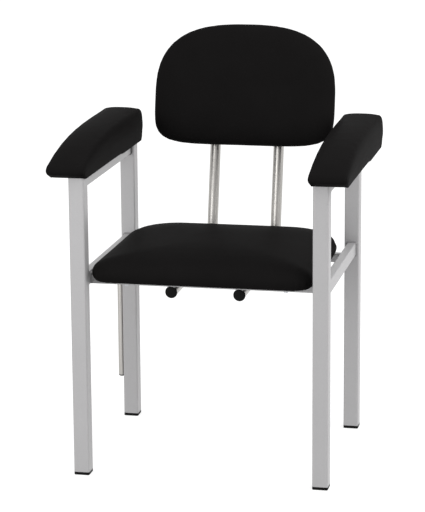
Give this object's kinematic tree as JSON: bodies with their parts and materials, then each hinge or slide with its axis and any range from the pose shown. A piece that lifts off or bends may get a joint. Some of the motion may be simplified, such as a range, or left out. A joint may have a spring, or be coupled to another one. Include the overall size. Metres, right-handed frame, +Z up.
{
  "type": "phlebotomy chair",
  "caption": "Phlebotomy chair with a square-tube frame, tall wedge-shaped padded armrests, a padded seat and a padded back on bent round tubes.",
  "frame": {"origin": "on the floor, below the middle of the chair's overall box", "axes": "+Z up; the sitter faces -Y; +X is at the right of someone who looks at the chair's front"},
  "size_m": [0.674, 0.6508, 0.9503],
  "materials": {
    "frame_paint": "satin",
    "polished_steel": "polished",
    "black_plastic": "matte",
    "black_vinyl": "satin",
    "dust_cloth": "matte",
    "plywood": "matte",
    "zinc_steel": "satin"
  },
  "bodies": {
    "root": {"leg_front_left": "frame_paint", "leg_front_right": "frame_paint", "leg_rear_left": "frame_paint", "leg_rear_right": "frame_paint", "foot_front_left": "black_plastic", "foot_front_right": "black_plastic", "foot_rear_left": "black_plastic", "foot_rear_right": "black_plastic", "leg_cap_front_left": "frame_paint", "leg_cap_front_right": "frame_paint", "leg_cap_rear_left": "frame_paint", "leg_cap_rear_right": "frame_paint", "side_rail_left": "frame_paint", "side_rail_right": "frame_paint", "cross_rail_front": "frame_paint", "cross_rail_rear": "frame_paint", "arm_rail_left": "frame_paint", "arm_rail_right": "frame_paint", "arm_rail_plug_left": "black_plastic", "arm_rail_plug_right": "black_plastic", "arm_board_left": "plywood", "arm_board_right": "plywood", "arm_pad_left": "black_vinyl", "arm_pad_right": "black_vinyl", "arm_screws": "zinc_steel", "back_tube_left": "polished_steel", "back_tube_right": "polished_steel", "back_tube_front_plugs": "black_plastic", "back_tube_top_plugs": "black_plastic", "seat_board": "plywood", "seat_dust_cover": "dust_cloth", "seat_cushion": "black_vinyl", "seat_screws": "zinc_steel", "back_board": "plywood", "back_dust_cover": "dust_cloth", "back_cushion": "black_vinyl", "back_screws": "zinc_steel", "drip_socket_tube": "polished_steel", "drip_socket_plug": "black_plastic"}
  },
  "joints": []
}
